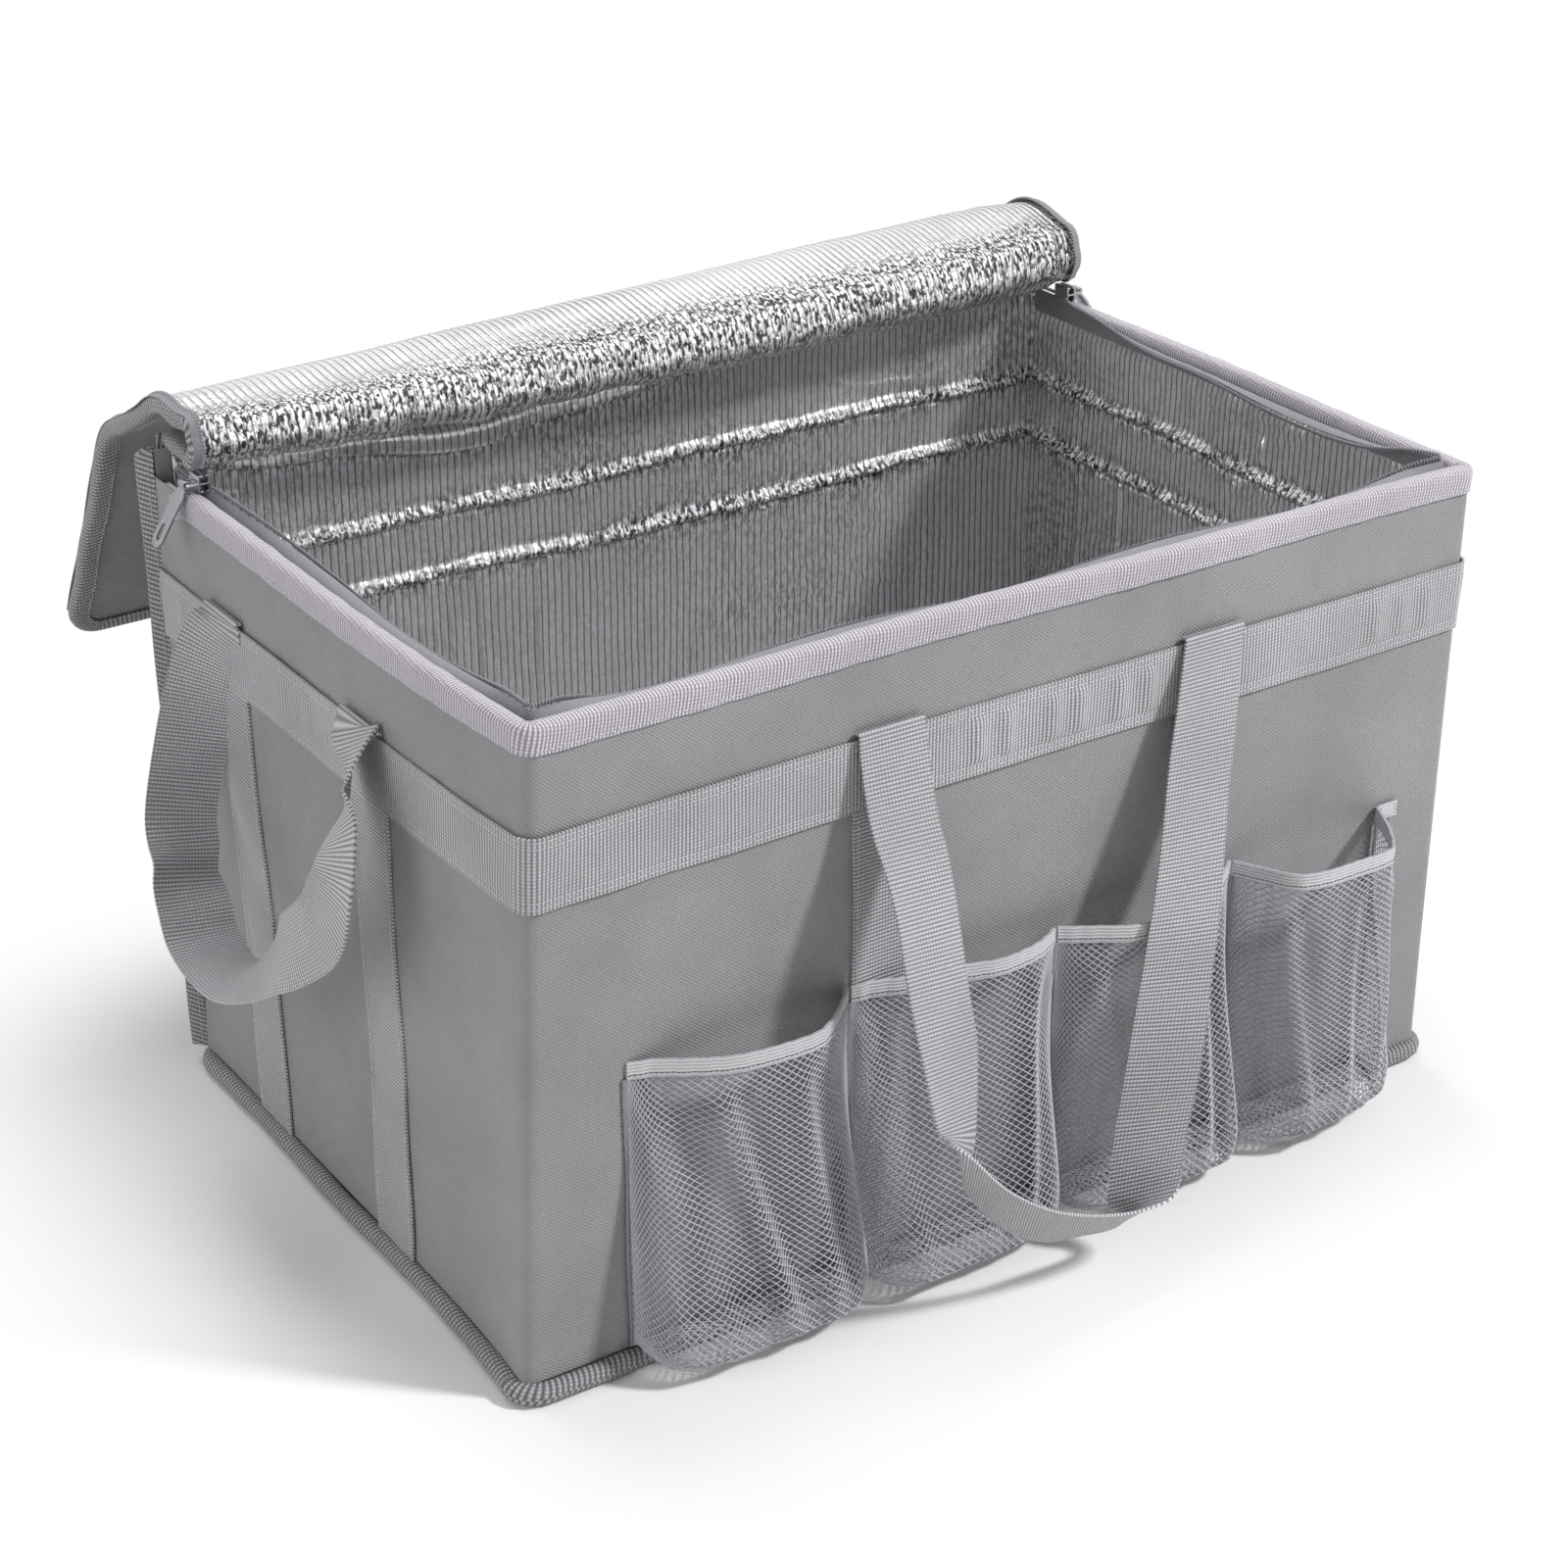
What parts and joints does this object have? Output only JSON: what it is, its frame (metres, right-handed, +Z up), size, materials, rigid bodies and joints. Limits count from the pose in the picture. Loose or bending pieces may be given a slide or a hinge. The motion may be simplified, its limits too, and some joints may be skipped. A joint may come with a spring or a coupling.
{
  "type": "cooler bag",
  "caption": "Open rectangular insulated bag with a zipped fold-back lid, webbing handles and mesh pockets on the front.",
  "frame": {"origin": "centre of the base panel, on the surface the bag stands on", "axes": "+X along the bag's long side to the right, -Y towards the front with the pockets, +Z up through the open top"},
  "size_m": [0.685, 0.6352, 0.4069],
  "materials": {
    "oxford_fabric": "matt woven polyester",
    "webbing": "ribbed woven webbing",
    "grosgrain_binding": "ribbed woven tape",
    "foil_liner": "metallised film, satin silver",
    "closed_cell_foam": "matt foam sheet",
    "stiffener_board": "flat plastic board",
    "zip_tape": "smooth woven tape",
    "nylon_coil": "semi-gloss nylon",
    "pocket_mesh": "open knitted net",
    "pocket_elastic": "ribbed elastic tape",
    "cast_zinc": "dull cast metal"
  },
  "bodies": {
    "bag": {"base_panel": "oxford_fabric", "base_board": "stiffener_board", "base_foam": "closed_cell_foam", "liner_base": "foil_liner", "base_piping": "grosgrain_binding", "outer_wrap": "oxford_fabric", "back_panel": "oxford_fabric", "back_foam": "closed_cell_foam", "left_foam": "closed_cell_foam", "right_foam": "closed_cell_foam", "front_foam": "closed_cell_foam", "liner_wrap": "foil_liner", "liner_back": "foil_liner", "rim_binding": "grosgrain_binding", "corner_binding_left": "grosgrain_binding", "corner_binding_right": "grosgrain_binding", "hinge_tape": "grosgrain_binding", "band_wrap": "webbing", "band_back": "webbing", "strap_front_left": "webbing", "strap_front_right": "webbing", "strap_back_left": "webbing", "strap_back_right": "webbing", "strap_left_front": "webbing", "strap_left_back": "webbing", "strap_right_front": "webbing", "strap_right_back": "webbing", "pocket_mesh_1": "pocket_mesh", "pocket_mesh_2": "pocket_mesh", "pocket_mesh_3": "pocket_mesh", "pocket_mesh_4": "pocket_mesh", "pocket_edge_1": "pocket_elastic", "pocket_edge_2": "pocket_elastic", "pocket_edge_3": "pocket_elastic", "pocket_edge_4": "pocket_elastic", "body_zip_tape": "zip_tape", "body_zip_coil": "nylon_coil", "lid_root": "foil_liner"},
    "lid_roll_1": {"lid_roll_1": "foil_liner"},
    "lid_roll_2": {"lid_roll_2": "foil_liner"},
    "lid_roll_3": {"lid_roll_3": "foil_liner"},
    "lid_roll_4": {"lid_roll_4": "foil_liner"},
    "lid_panel": {"lid_foil": "foil_liner", "lid_foam": "closed_cell_foam", "lid_cover": "oxford_fabric", "lid_binding": "grosgrain_binding", "lid_zip_tape": "zip_tape", "lid_zip_coil": "nylon_coil"},
    "handle_front": {"handle_front": "webbing"},
    "handle_back": {"handle_back": "webbing"},
    "handle_left": {"handle_left": "webbing"},
    "handle_right": {"handle_right": "webbing"},
    "slider_left": {"slider_left": "cast_zinc"},
    "slider_right": {"slider_right": "cast_zinc"},
    "pull_left": {"pull_left": "cast_zinc"},
    "pull_right": {"pull_right": "cast_zinc"}
  },
  "joints": [
    {"name": "lid_fold_1", "type": "hinge", "parent": "bag", "child": "lid_roll_1", "pos_m": [0, 0.145, 0.381], "axis": [1, 0, 0], "range_deg": [0, 50]},
    {"name": "lid_fold_2", "type": "hinge", "parent": "lid_roll_1", "child": "lid_roll_2", "pos_m": [0, 0.13922, 0.38789], "axis": [1, 0, 0], "range_deg": [0, 60]},
    {"name": "lid_fold_3", "type": "hinge", "parent": "lid_roll_2", "child": "lid_roll_3", "pos_m": [0, 0.14229, 0.39635], "axis": [1, 0, 0], "range_deg": [0, 66]},
    {"name": "lid_fold_4", "type": "hinge", "parent": "lid_roll_3", "child": "lid_roll_4", "pos_m": [0, 0.18918, 0.39963], "axis": [1, 0, 0], "range_deg": [0, 32]},
    {"name": "lid_fold_5", "type": "hinge", "parent": "lid_roll_4", "child": "lid_panel", "pos_m": [0, 0.26423, 0.35973], "axis": [1, 0, 0], "range_deg": [0, 32]},
    {"name": "handle_front_swing", "type": "hinge", "parent": "bag", "child": "handle_front", "pos_m": [0, -0.1915, 0.31], "axis": [-1, 0, 0], "range_deg": [0, 160]},
    {"name": "handle_back_swing", "type": "hinge", "parent": "bag", "child": "handle_back", "pos_m": [0, 0.1915, 0.31], "axis": [1, 0, 0], "range_deg": [0, 50]},
    {"name": "handle_left_swing", "type": "hinge", "parent": "bag", "child": "handle_left", "pos_m": [-0.2945, 0, 0.31], "axis": [0, 1, 0], "range_deg": [0, 160]},
    {"name": "handle_right_swing", "type": "hinge", "parent": "bag", "child": "handle_right", "pos_m": [0.2945, 0, 0.31], "axis": [0, -1, 0], "range_deg": [0, 160]},
    {"name": "slider_left_slide", "type": "slide", "parent": "bag", "child": "slider_left", "axis": [0, -1, 0], "range_m": [0, 0.31]},
    {"name": "slider_right_slide", "type": "slide", "parent": "bag", "child": "slider_right", "axis": [0, -1, 0], "range_m": [0, 0.31]},
    {"name": "pull_left_swing", "type": "hinge", "parent": "slider_left", "child": "pull_left", "pos_m": [-0.2918, 0.149, 0.3671], "axis": [0, 1, 0], "range_deg": [0, 140]},
    {"name": "pull_right_swing", "type": "hinge", "parent": "slider_right", "child": "pull_right", "pos_m": [0.2918, 0.149, 0.3671], "axis": [0, -1, 0], "range_deg": [0, 140]}
  ],
  "couplings": [
    {"joint": "lid_fold_1", "follows": "lid_fold_4", "ratio": 1.5625},
    {"joint": "lid_fold_2", "follows": "lid_fold_4", "ratio": 1.875},
    {"joint": "lid_fold_3", "follows": "lid_fold_4", "ratio": 2.0625},
    {"joint": "lid_fold_5", "follows": "lid_fold_4", "ratio": 1}
  ]
}
